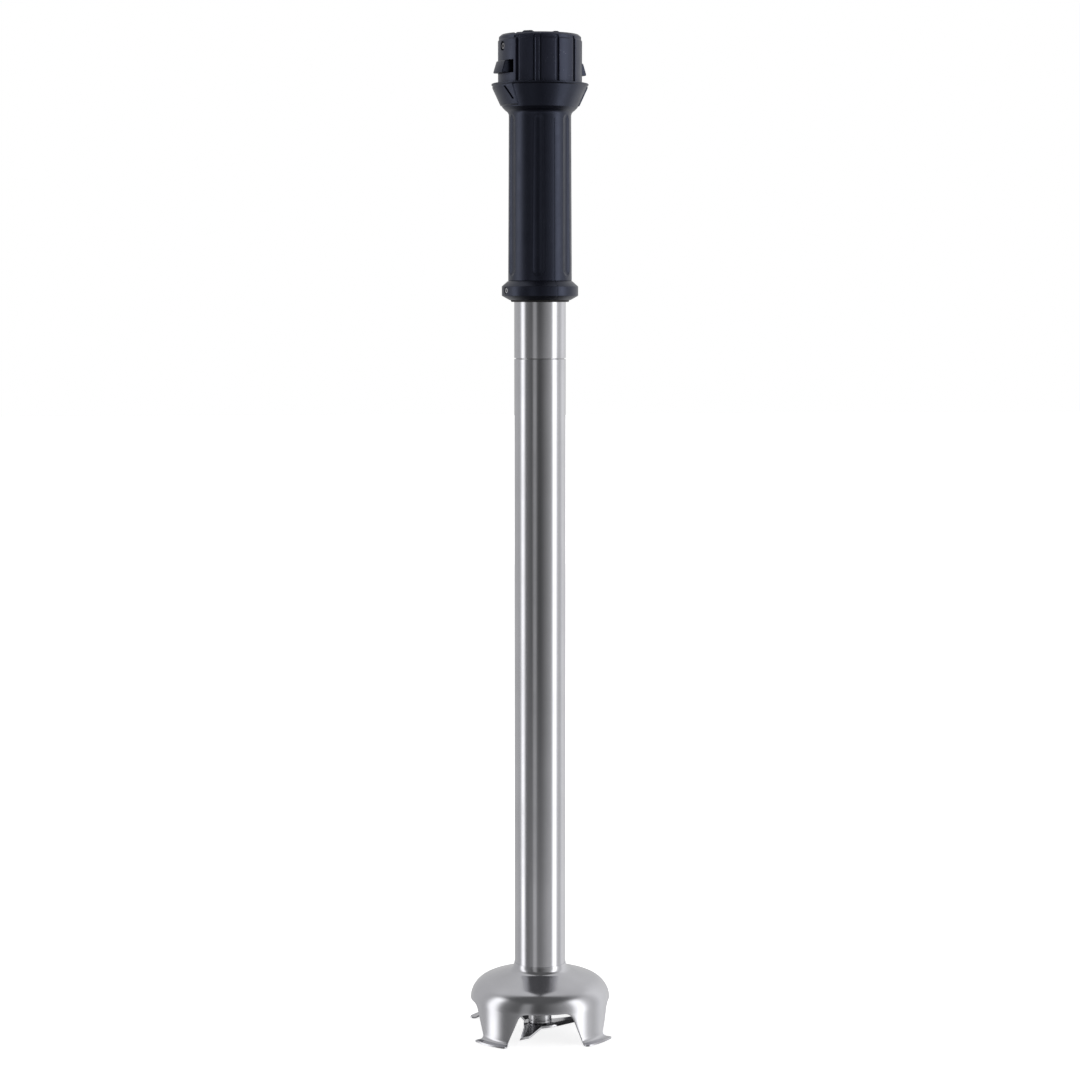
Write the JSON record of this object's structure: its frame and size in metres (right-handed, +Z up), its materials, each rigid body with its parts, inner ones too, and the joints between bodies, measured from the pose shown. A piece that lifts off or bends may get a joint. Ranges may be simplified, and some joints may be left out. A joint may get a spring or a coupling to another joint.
{
  "type": "immersion blender arm",
  "caption": "Detachable blending arm of an immersion blender: coupling spigot with sprung latches, guarded grip, long steel tube, vented bell guard and winged blade on a drive shaft.",
  "frame": {"origin": "centre of the plane that the four feet of the bell guard stand on, on the shaft axis", "axes": "+Z up along the shaft axis from the feet to the coupling spigot; the legs stand at 45 degrees to X and Y; the latch lugs lie 22.5 degrees from the X axis"},
  "size_m": [0.1052, 0.1052, 0.741],
  "materials": {
    "black_polyamide": "fine moulded texture, semi-gloss",
    "lug_polyamide": "moulded, worn smooth on the ramp",
    "satin_steel": "satin polished stainless tube",
    "bell_steel": "polished pressed stainless sheet",
    "blade_steel": "ground stainless with polished cutting edges",
    "screw_steel": "bright stainless fastener",
    "machined_steel": "turned",
    "spring_steel": "oiled spring steel",
    "bearing_steel": "ground and polished",
    "cage_brass": "pressed brass",
    "cast_aluminium": "turned aluminium",
    "bush_polymer": "turned white polymer",
    "bush_bronze": "sintered bronze",
    "black_rubber": "smooth moulded rubber"
  },
  "bodies": {
    "arm": {"coupling_spigot": "black_polyamide", "spigot_screws": "screw_steel", "spigot_seal": "black_rubber", "latch_keeper_left": "lug_polyamide", "latch_keeper_right": "lug_polyamide", "latch_screws": "spring_steel", "latch_springs_left": "spring_steel", "latch_springs_right": "spring_steel", "grip_handle": "black_polyamide", "grip_collar": "black_polyamide", "collar_set_screws": "screw_steel", "collar_gasket": "black_rubber", "bearing_carrier": "cast_aluminium", "bearing_outer_race": "bearing_steel", "wave_washer": "spring_steel", "bearing_circlip": "spring_steel", "upper_tube": "satin_steel", "joint_sleeve": "machined_steel", "lower_tube": "satin_steel", "tube_guide_bushes": "bush_polymer", "foot_housing": "machined_steel", "foot_bush": "bush_bronze", "shaft_seal": "black_rubber", "seal_retaining_ring": "spring_steel", "housing_o_ring": "black_rubber", "bell_guard": "bell_steel"},
    "rotor": {"drive_shaft": "machined_steel", "drive_dog": "machined_steel", "dog_pin": "machined_steel", "shaft_spacer": "machined_steel", "shaft_circlip": "spring_steel", "bearing_inner_race": "bearing_steel", "blade_sleeve": "machined_steel", "blade": "blade_steel", "blade_screw": "blade_steel"},
    "ball_set": {"bearing_balls": "bearing_steel", "bearing_cage": "cage_brass"},
    "lug_left": {"latch_lug_left": "lug_polyamide"},
    "lug_right": {"latch_lug_right": "lug_polyamide"}
  },
  "joints": [
    {"name": "blade_spin", "type": "hinge", "parent": "arm", "child": "rotor", "pos_m": [0, 0, 0.678], "axis": [0, 0, 1], "continuous": true},
    {"name": "ball_set_spin", "type": "hinge", "parent": "arm", "child": "ball_set", "pos_m": [0, 0, 0.678], "axis": [0, 0, 1], "continuous": true},
    {"name": "latch_left", "type": "slide", "parent": "arm", "child": "lug_left", "axis": [0.9239, 0.3827, 0], "range_m": [0, 0.0041], "stiffness_N_per_m": 1200, "springref_m": -0.002, "deforming": ["latch_springs_left"]},
    {"name": "latch_right", "type": "slide", "parent": "arm", "child": "lug_right", "axis": [-0.9239, -0.3827, 0], "range_m": [0, 0.0041], "stiffness_N_per_m": 1200, "springref_m": -0.002, "deforming": ["latch_springs_right"]}
  ],
  "couplings": [
    {"joint": "ball_set_spin", "follows": "blade_spin", "ratio": 0.3678}
  ]
}
